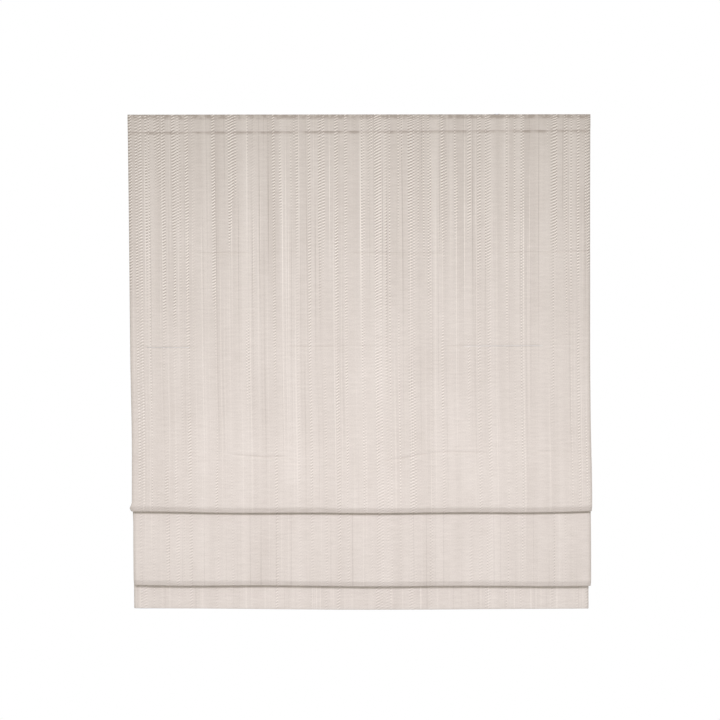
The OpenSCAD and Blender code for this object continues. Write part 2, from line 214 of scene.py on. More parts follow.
def stretched_noise(material, where, across, along, detail, shift=0.0):
    """Noise with about this many swells in a metre across the cloth and along it."""
    scale = node(material, "ShaderNodeMapping")
    scale.inputs["Scale"].default_value = (across, along, 1)
    scale.inputs["Location"].default_value = (shift, shift, shift)
    material.node_tree.links.new(where, scale.inputs["Vector"])
    made = node(material, "ShaderNodeTexNoise")
    made.inputs["Scale"].default_value = 1.0
    made.inputs["Detail"].default_value = detail
    link(material, scale, "Vector", made, "Vector")
    return made.outputs["Fac"]


def wave_of(material, value, pitch):
    return mathematics(material, "SINE", times(material, value, math.tau / pitch))


def chance(material, value):
    """A number from zero to one, as if by chance, but always the same for the same value."""
    made = node(material, "ShaderNodeTexWhiteNoise", noise_dimensions="1D")
    material.node_tree.links.new(value, made.inputs["W"])
    return made.outputs["Value"]


# %% Streaks and grain of the cloth
thread_pitch = 0.0013


def pale_threads(material, where):
    threads = stretched_noise(material, where, across=240, along=0.9, detail=1.0, shift=7.0)
    return ramp(material, threads, 0.60, 0.76, 0.0, 0.30)


def dim_threads(material, where):
    threads = stretched_noise(material, where, across=210, along=1.1, detail=1.0, shift=19.0)
    return ramp(material, threads, 0.60, 0.76, 0.0, -0.24)


def streaks_of(material, where, along, pale):
    """Thick and thin threads, which are clearer high on the panel."""
    bands = centred(material, stretched_noise(material, where, across=34, along=0.5, detail=2.0), 0.50)
    strength = ramp(material, along, 0.18, 0.50, 1.70, 0.80)
    return times(material, plus(material, bands, pale, dim_threads(material, where)), strength)


def grain_of(material, where):
    fibres = stretched_noise(material, where, across=620, along=330, detail=1.0, shift=3.0)
    return centred(material, fibres, 0.55)


def weft_and_patches(material, where):
    weft = stretched_noise(material, where, across=36, along=240, detail=1.0, shift=13.0)
    patches = stretched_noise(material, where, across=8, along=6, detail=3.0, shift=11.0)
    return plus(material, centred(material, weft, 0.34), centred(material, patches, 0.30))


# %% [markdown]
# ## Specks where threads float
# In narrow groups of warp threads the yarn floats over its neighbours, and that shows as rows of slanting
# specks. They are clearest near the head and come and go down the cloth. Each float could be a small
# mesh, but there would be tens of thousands of them. So a sine wave along the cloth draws the specks,
# shifted a step from each thread to the next to make them slant, and chance decides which groups of
# threads have them.

# %% Specks
speck_pitch = 0.0064
float_wide = 0.0024
group_wide = 3 * float_wide
slant_step = 0.5 * float_wide
start_swing = 0.16 * speck_pitch
drift_reach = 0.007


def strip_number(material, across, wide):
    """Number of the strip, counted from the left edge, that a place on the cloth lies in."""
    return mathematics(material, "FLOOR", mathematics(material, "DIVIDE", across, wide))


def speck_groups(material, where, across, along):
    """One where a group of threads has specks, and zero where it is plain."""
    group = strip_number(material, across, group_wide)
    comes = stretched_noise(material, where, across=60, along=2.2, detail=1.0, shift=12.45)
    fewer_below = ramp(material, along, 0.02, 0.50, -0.06, 0.16)
    luck = plus(material, chance(material, group), centred(material, comes, 1.1))
    return ramp(material, minus(material, luck, fewer_below), 0.52, 0.64)


def specks_of(material, where, across, along):
    """Rows of slanting specks, with each thread's own start and strength."""
    warp = strip_number(material, across, float_wide)
    step = times(material, warp, slant_step)
    drift = stretched_noise(material, where, across=22, along=6, detail=1.0, shift=31.0)
    drift = times(material, drift, drift_reach)
    start = times(material, chance(material, warp), start_swing)
    slant = wave_of(material, plus(material, step, along, drift, start), speck_pitch)
    weight = ramp(material, chance(material, plus(material, warp, 0.5)), 0.2, 0.8, 0.15, 1.35)
    fading = stretched_noise(material, where, across=40, along=9.0, detail=1.0, shift=23.0)
    fading = ramp(material, fading, 0.32, 0.62, 0.45, 1.05)
    shown = times(material, weight, speck_groups(material, where, across, along), fading)
    weaker_below = ramp(material, along, 0.66, 0.98, 1.0, 0.68)
    return times(material, slant, weaker_below, shown)


# %% [markdown]
# ## Painted shade on the head and the lips
# The crest of the head, a thin line below the head seam and the rolled lips are drawn darker than the panel
# in the colour, as painted shade where less light falls. The lamp alone leaves them as bright as the rest.
# The marks could be painted on by hand, but a tone that is worked out from the place along the cloth stays
# where the fold is, even when a size is changed.

# %% Painted shade of the head
head_hem = 0.039
crest_from = 0.005
crest_to = 0.015


def crest_shade_band(material, where, along, tone):
    # Painted shade: the turned-over crest of the head is drawn darker, patchily, and fades out below it
    crest_unevenness = stretched_noise(material, where, across=90, along=90, detail=2.0, shift=37.0)
    fades = ramp(material, along, crest_from, crest_to, tone, 0.0)
    return times(material, ramp(material, crest_unevenness, 0.36, 0.64, 0.45, 1.55), fades)


def seam_shadow_line(material, where, along, tone):
    """A thin painted shadow below the head hem, sharp above and soft below."""
    begins = ramp(material, along, head_hem - 0.0010, head_hem + 0.0004, 0.0, tone)
    ends = ramp(material, along, head_hem + 0.0006, head_hem + 0.0085, 1.0, 0.0)
    uneven = stretched_noise(material, where, across=26, along=1.0, detail=3.0, shift=41.0)
    return times(material, ramp(material, uneven, 0.38, 0.62, 0.30, 2.1), times(material, begins, ends))


# %% Painted shade on a lip
roll_from = 0.021
roll_full = 0.008
roll_past = 0.003
roll_end = 0.006


def roll_shade_of(material, along, low, tone):
    """Painted shade on the roll of a lip, from a little above its lowest point to just past it."""
    begins = ramp(material, along, low - roll_from, low - roll_full, 0.0, tone)
    return times(material, begins, ramp(material, along, low + roll_past, low + roll_end, 1.0, 0.0))


# %% A helper that adds up one woven finish
plain_tone = 0.06
quiet_share = 0.72
weave_deep = 0.0006
cloth_shine = {"Roughness": 0.92, "Specular IOR Level": 0.15, "Sheen Weight": 0.06, "Sheen Roughness": 0.6}


def woven_finish(name, dark, light, crest_shade_tone, seam_shadow_tone, lip_roll_shades):
    material, shader = new_finish(name)
    for socket, value in cloth_shine.items():
        shader.inputs[socket].default_value = value
    where = node(material, "ShaderNodeUVMap", uv_map="cloth_map").outputs["UV"]
    apart = node(material, "ShaderNodeSeparateXYZ")
    material.node_tree.links.new(where, apart.inputs["Vector"])
    across, along = apart.outputs["X"], apart.outputs["Y"]
    pale = pale_threads(material, where)
    grain = grain_of(material, where)
    specks = specks_of(material, where, across, along)
    plain = times(material, wave_of(material, across, thread_pitch), wave_of(material, along, thread_pitch))
    tones = [
        streaks_of(material, where, along, pale), grain, weft_and_patches(material, where),
        crest_shade_band(material, where, along, crest_shade_tone), seam_shadow_line(material, where, along, seam_shadow_tone),
        times(material, plain, plain_tone)]
    # painted shade on the roll of each lip
    for low, tone in lip_roll_shades:
        tones.append(roll_shade_of(material, along, low, tone))
    quiet = times(material, plus(material, *tones), quiet_share)
    clearer_above = ramp(material, along, 0.10, 0.48, 0.86, 0.30)
    tone = plus(material, quiet, times(material, specks, clearer_above))
    colours = two_colours(material, dark, light)
    material.node_tree.links.new(mathematics(material, "ADD", tone, 0.5, clamp=True), colours.inputs["Fac"])
    link(material, colours, "Color", shader, "Base Color")
    relief = node(material, "ShaderNodeBump")
    relief.inputs["Strength"].default_value = 0.4
    relief.inputs["Distance"].default_value = weave_deep
    height = plus(material, times(material, specks, 0.6), times(material, plain, 0.4), grain, pale)
    material.node_tree.links.new(height, relief.inputs["Height"])
    link(material, relief, "Normal", shader, "Normal")
    return material


# %% [markdown]
# ## The line that the cloth hangs in
# Seen from the side the cloth is one line: down the flat front, out to the lip and round it, back up to
# the turn below its rod, down to the next lip, up and down once more, and at last round the bar in the
# hem. The frame gives the places of the rods. The cloth between two rods is slack, so its lip hangs half
# of the slack lower than the turn. A cloth simulation would find about the same line, but slowly, and
# with a different result after each small change, so the line is drawn from arcs and runs, as a pattern
# cutter draws it.

# %% What the frame gives


def frame_box(node_name):
    """Lowest and highest corner of a piece of the frame, to the micrometre."""
    return [np.round(np.array(corner, float), 6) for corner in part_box(node_name)]


def rod_centre(node_name):
    """Depth and height of a rod's middle."""
    low, high = frame_box(node_name)
    return (low + high)[1:] / 2


cloth_low, cloth_high = frame_box("shade_cloth")
cloth_wide = float(cloth_high[0] - cloth_low[0])
head_z = float(cloth_high[2])
upper_rod = rod_centre("batten_rod_upper")
middle_rod = rod_centre("batten_rod_middle")
lower_rod = rod_centre("batten_rod_lower")
print("cloth is", cloth_wide, "wide, rods at", upper_rod, middle_rod, lower_rod)

# %% Sizes of the hanging line
cloth_drop = 1.6
cloth_thick = 0.0012
flap_long = 0.250
hem_pocket = 0.032
hem_r = 0.0028
lip_r = 0.007
peak_r = 0.003
head_layers = 1.5
face_y = float(frame_box("loop_tape")[0][1]) - head_layers * cloth_thick
rod_off = float(upper_rod[0]) - face_y
upper_rod_drop = head_z - float(upper_rod[1])
rod_pitch = (cloth_drop - upper_rod_drop - flap_long) / 2
front_peak_y, front_peak_drop = float(middle_rod[0]), head_z - float(middle_rod[1]) + peak_r + rod_off
back_peak_y, back_peak_drop = float(lower_rod[0]), head_z - float(lower_rod[1]) + peak_r + rod_off
front_run = rod_pitch - math.pi * (lip_r + peak_r / 2)
back_run = rod_pitch - math.pi * (lip_r + peak_r)
front_lip_drop = (upper_rod_drop + front_run + front_peak_drop) / 2
back_lip_drop = (front_peak_drop + back_run + back_peak_drop) / 2
hem_drop = back_peak_drop + flap_long - math.pi * peak_r / 2 - hem_r
print("lips below the head:", round(front_lip_drop + lip_r, 4), round(back_lip_drop + lip_r, 4))
print("bottom edge below the head:", round(hem_drop + hem_r, 4))

# %% Curves that the line is made of


def smooth(value, low, high):
    share = np.clip((value - low) / (high - low), 0, 1)
    return share * share * (3 - 2 * share)


def arc(y, drop, r, sweep, steps):
    turn = np.pi + np.radians(sweep) * np.linspace(0, 1, steps)
    return np.column_stack([y + r * np.cos(turn), drop - r * np.sin(turn)])


def run(start, end, steps):
    """Points of a straight run, without its two ends."""
    share = np.linspace(0, 1, steps + 2)[1:-1, None]
    return start + (end - start) * share


def run_lengths(path):
    return np.concatenate([[0], np.cumsum(np.linalg.norm(np.diff(path, axis=0), axis=1))])


# %% The curve of a lip
lip_half = 0.008
lip_long = 0.0175
lip_lean = 27
lean_from = 0.005
turn_from = 0.013
under_tall = 0.006


def lip_front():
    """Depth and drop down the front of a lip, which leans in for a while before it turns under."""
    along = np.linspace(0, lip_long, 19)
    lean = lip_lean * smooth(along, 0, lean_from) + (90 - lip_lean) * smooth(along, turn_from, lip_long)
    middle = np.radians((lean[1:] + lean[:-1]) / 2)
    step = lip_long / (len(along) - 1)
    deep = np.concatenate([[0], np.cumsum(np.sin(middle) * step)])
    drop = np.concatenate([[0], np.cumsum(np.cos(middle) * step)])
    return np.column_stack([deep, drop])


lip_curve = lip_front()
lip_deep, lip_tall = lip_curve[-1]
print("lip leans in", round(lip_deep, 4), "over", round(lip_tall, 4))


def lip_line(middle_y, bottom):
    """The front of a lip and the quarter of an oval that it turns under with."""
    turn = np.radians(np.linspace(0, 90, 10))
    front = lip_curve + np.array([middle_y - lip_half, bottom - lip_tall])
    under_deep = 2 * lip_half - lip_deep
    under_y = front[-1, 0] + under_deep * np.cos(turn)
    under = np.column_stack([under_y, bottom - under_tall * (1 - np.sin(turn))])
    return np.vstack([front, under[-2::-1]])


# %% Rows of the line
# Each span: where it starts, where it ends, and how many rows; they lie closer where the cloth bends
flat_spans = (
    (0, 0.034, 12), (0.034, 0.044, 11), (0.044, 0.288, 20),
    (0.288, 0.318, 27), (0.318, 0.490, 14), (0.490, upper_rod_drop, 14))
bow_spans = ((0.003, 0.040, 12), (0.040, 0.61, 14), (0.61, 0.75, 44), (0.75, 0.985, 16))
flat_drops = np.unique(np.concatenate([np.linspace(*span) for span in flat_spans]))
bow_shares = np.unique(np.concatenate([np.linspace(*span) for span in bow_spans]))
belly_shares = np.linspace(0, 1, 34)[1:-1]
print("rows on the panel:", len(flat_drops) + len(bow_shares))

# %% The whole line as points of depth and drop
lip_reach = 0.0145
swell_long = 0.200
fold_belly = 0.004
fold_gap = 0.001
front_lip_y = face_y - lip_reach + lip_half
flap_y = back_peak_y + peak_r
back_lip_y = flap_y - lip_half - cloth_thick - fold_gap
peak_steps = 9


def hanging_line(front_sag, back_sag, hem_sag):
    front_bottom = front_lip_drop + lip_r + front_sag
    front_at = front_bottom - lip_tall
    flat = np.column_stack([np.full(len(flat_drops), face_y), flat_drops])
    bow_drops = upper_rod_drop + (front_at - upper_rod_drop) * bow_shares
    bow_y = face_y - lip_reach * smooth(bow_drops, front_at - swell_long, front_at)
    lip_one = lip_line(front_lip_y, front_bottom)
    peak_one = arc(front_peak_y, front_peak_drop, peak_r, -180, peak_steps)
    lip_two = lip_line(back_lip_y, back_lip_drop + lip_r + back_sag)
    peak_two = arc(back_peak_y, back_peak_drop, peak_r, -180, peak_steps)
    turn_up = arc(flap_y + hem_r, hem_drop + hem_sag, hem_r, 180, peak_steps)
    hem_end = np.array([flap_y + 2 * hem_r, hem_drop + hem_sag - hem_pocket])
    fold_face = run(peak_one[-1], lip_two[0], len(belly_shares))
    fold_face[:, 0] -= fold_belly * np.sin(np.pi * belly_shares)
    return np.vstack([
        flat, np.column_stack([bow_y, bow_drops]), lip_one, run(lip_one[-1], peak_one[0], 7), peak_one,
        fold_face, lip_two, run(lip_two[-1], peak_two[0], 16), peak_two,
        run(peak_two[-1], turn_up[0], 34), turn_up, run(turn_up[-1], hem_end, 5), hem_end])


line = hanging_line(0, 0, 0)
line_at = run_lengths(line)
line_drops = line[:, 1]
front_lip_at = line_at[np.argmax(line_drops > front_lip_drop)]
hem_at = line_at[np.argmax(line_drops)]
print("points down the cloth:", len(line), "length with the hem:", round(line_at[-1], 4))

# %% [markdown]
# ## The two woven finishes
# The shade and its hems are the slubbed linen. The pockets and the tapes are a paler, plainer ribbon.
# Both come from the same helper, because both are woven. The linen is made only now, because the painted
# shade on the lips needs to know how far along the cloth each lip is lowest.

# %% Lips and finishes
low_rows = [
    row for row in range(1, len(line) - 1)
    if line_drops[row - 1] < line_drops[row] >= line_drops[row + 1]]
# Painted shade on the roll of each lip, stronger on the front lip than on the back one
roll_shade_tones = (-0.15, -0.08)
lip_roll_shades = [(float(line_at[row]), tone) for row, tone in zip(low_rows, roll_shade_tones)]
# The linen gets painted shade on its crest, below its head seam and on the lip rolls
linen = woven_finish(
    "slubbed_linen", (0.420, 0.361, 0.303), (0.820, 0.756, 0.672),
    crest_shade_tone=-0.54, seam_shadow_tone=-0.36, lip_roll_shades=lip_roll_shades)
tape_cloth = woven_finish(
    "sewing_tape", (0.66, 0.63, 0.58), (0.82, 0.80, 0.76), crest_shade_tone=0.0, seam_shadow_tone=0.0, lip_roll_shades=[])
print("lowest points of the lips and the hem:", line_at[low_rows].round(4))
print("weave nodes:", len(linen.node_tree.nodes))

# %% [markdown]
# ## The cloth itself
# Real cloth is never flat: the lips sag a little between the cords, old fold lines stay as faint creases,
# and the face is a touch wavy. The sheet is a grid of columns across and rows along the hanging line,
# moved by a few slow waves. Its two faces lie a cloth's thickness apart in one closed mesh, because a
# single surface would vanish when it is seen edge on. The double cloth at the head stands a little proud
# of the seam below it.

# %% Sags of the lips and the hem
# Each row: sag in the middle, tilt, bow to the sides, then height, radians in a metre and start of a ripple
sag_rows = (
    (0.0071, 0.0043, -0.0135, 0.0006, 19, 0.7),
    (0.0060, 0.0066, -0.0085, 0.0007, 15, 1.4),
    (0.0012, 0.0058, -0.0100, 0.0005, 11, math.pi / 2))


def lip_sags(x):
    """How far the front lip, the back lip and the hem hang below the plain line, in metres."""
    return [
        middle + tilt * x + bow * x**2 + high * np.sin(rate * x + start)
        for middle, tilt, bow, high, rate, start in sag_rows]


print("sags in the middle:", [round(float(sag), 4) for sag in lip_sags(0.0)])

# %% How the face departs from the plain line
# Each wave: height in metres, turn in radians for a metre across and for a metre along, start
face_waves = ((0.0009, 7.3, 4.1, 0.4), (0.0007, 13.7, -6.3, 1.9), (0.0003, 31, 17, 0))
head_puff = 0.0010
seam_deep = 0.0009
ridge_high = 0.0009
panel_end = 0.85


def hump(at, middle, width):
    return np.exp(-(((at - middle) / width) ** 2))


def patchy(x, start):
    """Share of a crease that is left here, as it comes and goes across the cloth."""
    return smooth(np.sin(17 * x + start) + 0.7 * np.sin(41 * x + 2 * start), -0.7, 0.8)


def creases(x, at):
    """Depth of the old fold lines: one straight, one at the upper rod and one wavy."""
    straight_at = 0.302 + 0.002 * np.sin(8 * x)
    wavy_at = 0.739 + 0.009 * np.cos(9.5 * x + 0.3) + 0.004 * np.sin(23 * x + 1)
    straight = 0.0017 * patchy(x, 0.4) * hump(at, straight_at, 0.0023)
    at_rod = 0.0014 * patchy(x, 2.9) * hump(at, upper_rod_drop, 0.0024)
    wavy = 0.0019 * patchy(x, 5.3) * hump(at, wavy_at, 0.0026)
    return (straight + at_rod + wavy) * (at < panel_end)


def bulge(x, at):
    """How far the face stands forward of the hanging line, in metres."""
    wave = sum(high * np.sin(over * x + down * at + start) for high, over, down, start in face_waves)
    free = smooth(at, 0.05, 0.22) * (1 - 0.8 * smooth(at, 0.78, panel_end))
    puff = head_puff * np.sqrt(np.clip(1 - (2 * at / head_hem - 1) ** 2, 0, 1)) * (at < head_hem)
    seam = seam_deep * hump(at, head_hem + 0.0008, 0.0011)
    hem_ridge = ridge_high * hump(at, hem_at - 0.016, 0.005)
    return wave * free + puff - seam - creases(x, at) + hem_ridge


def sideways(x, at):
    """How far the folds hang to the right, less what the left end of the front lip puffs out, in metres."""
    swing = 0.0025 * smooth(at, 0.50, 0.80) * (1 - smooth(at, 1.25, 1.32))
    end_puff = 0.005 * hump(at, front_lip_at, 0.008) * smooth(-x, 0.45, 0.50)
    return swing - end_puff


# %% Middle surface of the sheet
columns = np.linspace(-cloth_wide / 2, cloth_wide / 2, 141)
side_waver = 0.0010
crest_drop = 0.0033
crest_tilt = 0.004
crest_long = 0.03


def cloth_middle_at(x_values):
    grid = np.zeros((len(line), len(x_values), 3))
    for index, x in enumerate(x_values):
        hung = hanging_line(*lip_sags(x))
        down = np.gradient(hung, axis=0)
        down /= np.linalg.norm(down, axis=1, keepdims=True)
        forward = bulge(x, line_at)
        drawn_in = 1 - side_waver * np.sin(5 * hung[:, 1] + 0.6) ** 2
        grid[:, index, 0] = x * drawn_in + sideways(x, line_at)
        grid[:, index, 1] = hung[:, 0] - forward * down[:, 1]
        grid[:, index, 2] = head_z - hung[:, 1] - forward * down[:, 0]
        grid[:, index, 2] -= (crest_drop + crest_tilt * x) * (1 - smooth(line_at, 0, crest_long))
    return grid


cloth_middle = cloth_middle_at(columns)
print("grid of the cloth:", cloth_middle.shape[:2])

# %% Helpers that turn a grid into a closed sheet


def grid_normals(grid):
    down = np.gradient(grid, axis=0)
    over = np.gradient(grid, axis=1)
    normal = np.cross(down, over)
    return normal / np.linalg.norm(normal, axis=2, keepdims=True)


def sewn_piece(name, points, faces, finish):
    """A smooth mesh that rides with the blind."""
    mesh = bpy.data.meshes.new(name)
    mesh.from_pydata(np.asarray(points).tolist(), [], faces)
    mesh.polygons.foreach_set("use_smooth", [True] * len(mesh.polygons))
    mesh.materials.append(finish)
    made = bpy.data.objects.new(name, mesh)
    bpy.context.scene.collection.objects.link(made)
    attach(made, "blind")
    return made


def closed_sheet(name, face, back, uv, finish):
    """Two grids of points, joined round their edges, with a map of the cloth on both."""
    rows, cols = face.shape[:2]
    points = np.vstack([face.reshape(-1, 3), back.reshape(-1, 3)])
    index = np.arange(rows * cols).reshape(rows, cols)
    far = index + rows * cols
    corners = [
        (index[:-1, :-1], index[1:, :-1], index[1:, 1:], index[:-1, 1:]),
        (far[:-1, :-1], far[:-1, 1:], far[1:, 1:], far[1:, :-1]),
        (index[:-1, 0], far[:-1, 0], far[1:, 0], index[1:, 0]),
        (index[:-1, -1], index[1:, -1], far[1:, -1], far[:-1, -1]),
        (index[0, :-1], index[0, 1:], far[0, 1:], far[0, :-1]),
        (index[-1, :-1], far[-1, :-1], far[-1, 1:], index[-1, 1:])]
    faces = np.vstack([np.column_stack([corner.ravel() for corner in quad]) for quad in corners])
    made = sewn_piece(name, points, faces.tolist(), finish)
    layer = made.data.uv_layers.new(name="cloth_map")
    used = np.array([loop.vertex_index for loop in made.data.loops])
    layer.data.foreach_set("uv", np.vstack([uv.reshape(-1, 2)] * 2)[used].ravel())
    return made


def cloth_uv(x_values, at_values):
    """Places in metres, from the left edge and from the head."""
    across, along = np.meshgrid(np.asarray(x_values) + cloth_wide / 2, at_values)
    return np.dstack([across, along])


# %% The sheet
normals = grid_normals(cloth_middle)
half = normals * cloth_thick / 2
shade_cloth = closed_sheet("woven_shade", cloth_middle + half, cloth_middle - half,
                           cloth_uv(columns, line_at), linen)
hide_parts("shade_cloth")
print("face normal on the panel:", normals[20, 70].round(3))
print("faces in the sheet:", len(shade_cloth.data.polygons))

# %% [markdown]
# ## Hems on the back
# The raw edges are turned over to the back: a wide hem at the head and a narrow one down each side. They
# could be drawn as a line on the back, as they hardly show from the room, but from the side and the back
# they are what makes it look sewn. Each side hem is a strip of the same surface, one layer further back,
# with its outer edge curled in to meet the face. The head hem is a flat strip, because the tape presses
# it flat.

# %% Side hems
side_hem = 0.025
side_hem_half = 0.00055
rows_turned_up = 12
hem_last_row = len(line) - rows_turned_up
back_shift = 0.1


def cloth_past_edge(x_values):
    """The middle surface at these places, carried straight on past the edge of the cloth."""
    inside = np.clip(x_values, -cloth_wide / 2, cloth_wide / 2)
    grid = cloth_middle_at(inside)
    grid[:, :, 0] += (x_values - inside)[None, :]
    return grid


for side, side_name in ((-1, "left"), (1, "right")):
    reach = cloth_wide / 2 - np.array([side_hem, 0.0200, 0.0120, 0.0050, 0.0015, 0.0, -0.0005])
    depth = np.array([0.00120, 0.00120, 0.00120, 0.00120, 0.00118, 0.00100, 0.00060])
    order = slice(None) if side > 0 else slice(None, None, -1)
    x_values = (side * reach)[order]
    grid = cloth_past_edge(x_values)
    normal = grid_normals(grid)[:hem_last_row]
    middle = grid[:hem_last_row] - normal * depth[order][None, :, None]
    thin = normal * side_hem_half
    closed_sheet(
        "side_hem_" + side_name, middle + thin, middle - thin,
        cloth_uv(x_values, line_at[:hem_last_row] + back_shift), linen)
print("side hems end", round(float(line_at[hem_last_row]), 3), "m down the cloth")

# %% Head hem
head_hem_gap = 0.0005
head_hem_y = face_y + 0.0011
head_hem_half = cloth_wide / 2 - side_hem - head_hem_gap
head_last_row = int(np.searchsorted(line_at, head_hem))
x_values = np.linspace(-head_hem_half, head_hem_half, 97)
flat_back = cloth_middle_at(x_values)[:head_last_row]
flat_back[:, :, 1] = head_hem_y
thin = np.array([0, -0.0005, 0])
closed_sheet(
    "head_hem", flat_back + thin, flat_back - thin,
    cloth_uv(x_values, line_at[:head_last_row] + back_shift), linen)

# %% [markdown]
# ## Pockets for the rods
# Each rod lies in a long pocket of thin tape, sewn to the back of the cloth. A pocket is one strip that
# leaves the cloth, goes round the rod and comes back. A plain tube would look moulded, so the strip keeps
# its flat neck and puckers a little between the stitches.

# %% Pockets
pocket_half = float(frame_box("rod_pocket_upper")[1][0])
pocket_r = 0.0030
pocket_thin = 0.00025
pucker_within = 0.0035
pucker_least = 0.97
neck_long = 0.0074
neck_half = 0.00045
neck_opening = math.radians(15)


def pocket_path(rod, neck_angle):
    """Side view of a pocket: from the cloth, round the rod and back to the cloth."""
    turn = np.linspace(neck_angle + neck_opening, neck_angle + math.tau - neck_opening, 23)
    loop = rod + pocket_r * np.column_stack([np.cos(turn), np.sin(turn)])
    out = np.array([math.cos(neck_angle), math.sin(neck_angle)])
    side = np.array([-out[1], out[0]])
    foot_up = rod + out * neck_long + side * neck_half
    foot_down = rod + out * neck_long - side * neck_half
    return np.vstack([foot_up, run(foot_up, loop[0], 3), loop, run(loop[-1], foot_down, 3), foot_down])


def pocket(name, rod, neck_angle, replaced):
    path = pocket_path(rod, neck_angle)
    round_rod = np.linalg.norm(path - rod, axis=1) < pucker_within
    x_values = np.linspace(-pocket_half, pocket_half, 187)
    pucker = 1 + 0.045 * np.sin(x_values * 760) + 0.03 * np.sin(x_values * 213 + 1)
    grid = np.zeros((len(path), len(x_values), 3))
    for index, x in enumerate(x_values):
        swell = np.where(round_rod, max(pucker[index], pucker_least), 1.0)
        grid[:, index, 0] = x
        grid[:, index, 1:] = rod + (path - rod) * swell[:, None]
    thin = grid_normals(grid) * pocket_thin
    uv = cloth_uv(x_values, run_lengths(path))
    made = closed_sheet(name, grid + thin, grid - thin, uv, tape_cloth)
    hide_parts(replaced)
    return made


pocket("upper_pocket", upper_rod, math.pi, "rod_pocket_upper")
pocket("middle_pocket", middle_rod, 1.5 * math.pi, "rod_pocket_middle")
pocket("lower_pocket", lower_rod, 1.5 * math.pi, "rod_pocket_lower")
print("pockets end", round(pocket_half, 3), "m from the middle")

# %% [markdown]
# ## Hook and loop tape
# The cloth is not nailed to the rail: a strip of loop tape sewn to its head presses onto hook tape on the
# rail, so that it comes off for washing. Both are woven ribbons with a thick pile between two thin edges.
# They could be plain bars, but the step from edge to pile shows at the ends. One outline of a ribbon,
# carried along the rail with a slight waver, makes both.

# %% Tapes
edge_share = 0.45
pile_clear = 0.00002
tape_waver = 0.00025
tape_shift = 0.2


def pile_tape(name, replaced, pile_in_front):
    """A ribbon in the place of a tape of the frame, with its pile towards the room or the wall."""
    low, high = frame_box(replaced)
    tape_high = high[2] - low[2]
    flat_y, pile_y = (high[1], low[1] + pile_clear) if pile_in_front else (low[1], high[1] - pile_clear)
    thin_y = flat_y + (pile_y - flat_y) * edge_share
    drops = np.array([
        0, 0.0010, 0.0018, 0.0026, 0.0060, 0.0100, 0.0140, 0.0174, 0.0182, 0.0190, tape_high])
    pile = np.array([thin_y] * 3 + [pile_y] * 5 + [thin_y] * 3)
    x_values = np.linspace(low[0], high[0], 199)
    ribbon = np.zeros((len(drops), len(x_values), 3))
    ribbon[:, :, 0] = x_values
    ribbon[:, :, 1] = pile[:, None]
    ribbon[:, :, 2] = high[2] - drops[:, None] + tape_waver * np.sin(x_values * 41)[None, :]
    plain = ribbon.copy()
    plain[:, :, 1] = flat_y
    near, away = (ribbon, plain) if pile_in_front else (plain, ribbon)
    made = closed_sheet(name, near, away, cloth_uv(x_values, drops + tape_shift), tape_cloth)
    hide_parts(replaced)
    return made


hook_strip = pile_tape("hook_strip", "hook_tape", pile_in_front=True)
loop_strip = pile_tape("loop_strip", "loop_tape", pile_in_front=False)
print("tapes:", hook_strip.name, loop_strip.name)

# %% [markdown]
# ## Stitches
# Thread shows where the cloth is sewn: along the head seam on the front, and along the side hems and the
# bottom hem on the back. One stitch is a short, pointed grain of thread. It is copied along a line of
# points, each copy turned to the line, which is lighter than a curve for every thread.

# %% One row of stitches
thread = grained_finish(
    "sewing_thread", (0.60, 0.53, 0.475), (0.72, 0.655, 0.60), rough=0.7, stretch=(900, 900, 900), bump=0.2)
round_six = np.array([(math.cos(a), math.sin(a)) for a in np.linspace(0, math.tau, 7)[:-1]])
look_ahead = 0.0005
ring_share = 0.32
ring_fat = 0.8
ring_lift = 0.3
tip_sink = 0.2


def on_line(at, values, spot):
    return np.array([np.interp(spot, at, values[:, k]) for k in range(3)])


def stitch_row(name, places, outs, pitch, long, wide):
    at = run_lengths(places)
    count = int(at[-1] / pitch)
    points = []
    faces = []
    for spot in (np.arange(count) + 0.5) * pitch:
        here = on_line(at, places, spot)
        ahead = on_line(at, places, spot + look_ahead) - here
        ahead /= np.linalg.norm(ahead)
        out = on_line(at, outs, spot)
        side = np.cross(ahead, out)
        first = len(points)
        points.append(here - ahead * long / 2 - out * wide * tip_sink)
        for share in (-ring_share, ring_share):
            centre = here + ahead * long * share + out * wide / 2 * ring_lift
            points.extend(centre + (side * c + out * s) * wide / 2 * ring_fat for c, s in round_six)
        points.append(here + ahead * long / 2 - out * wide * tip_sink)
        for k in range(6):
            n = (k + 1) % 6
            faces.append((first, first + 1 + n, first + 1 + k))
            faces.append((first + 1 + k, first + 1 + n, first + 7 + n, first + 7 + k))
            faces.append((first + 13, first + 7 + k, first + 7 + n))
    sewn_piece(name, points, faces, thread)
    return count


# %% The seams
head_seam_row = int(np.searchsorted(line_at, head_hem - 0.0012))
side_seam_x = cloth_wide / 2 - side_hem + 0.0025
side_seam_deep = 0.00178
seams = {"head": stitch_row(
    "head_seam", (cloth_middle + half)[head_seam_row], normals[head_seam_row],
    pitch=0.0045, long=0.0036, wide=0.0008)}
for side, side_name in ((-1, "left"), (1, "right")):
    places = cloth_middle_at(np.array([side * side_seam_x]))[:, 0]
    normal = np.cross(np.gradient(places, axis=0), (1, 0, 0))
    normal /= np.linalg.norm(normal, axis=1, keepdims=True)
    places = places - normal * side_seam_deep
    seams["side_" + side_name] = stitch_row(
        "side_seam_" + side_name, places[:hem_last_row], -normal[:hem_last_row],
        pitch=0.0048, long=0.0036, wide=0.0007)
bottom_row = len(line) - 2
seams["bottom"] = stitch_row(
    "bottom_seam", (cloth_middle - half)[bottom_row], -normals[bottom_row],
    pitch=0.0045, long=0.0036, wide=0.0007)
print("stitches:", seams)

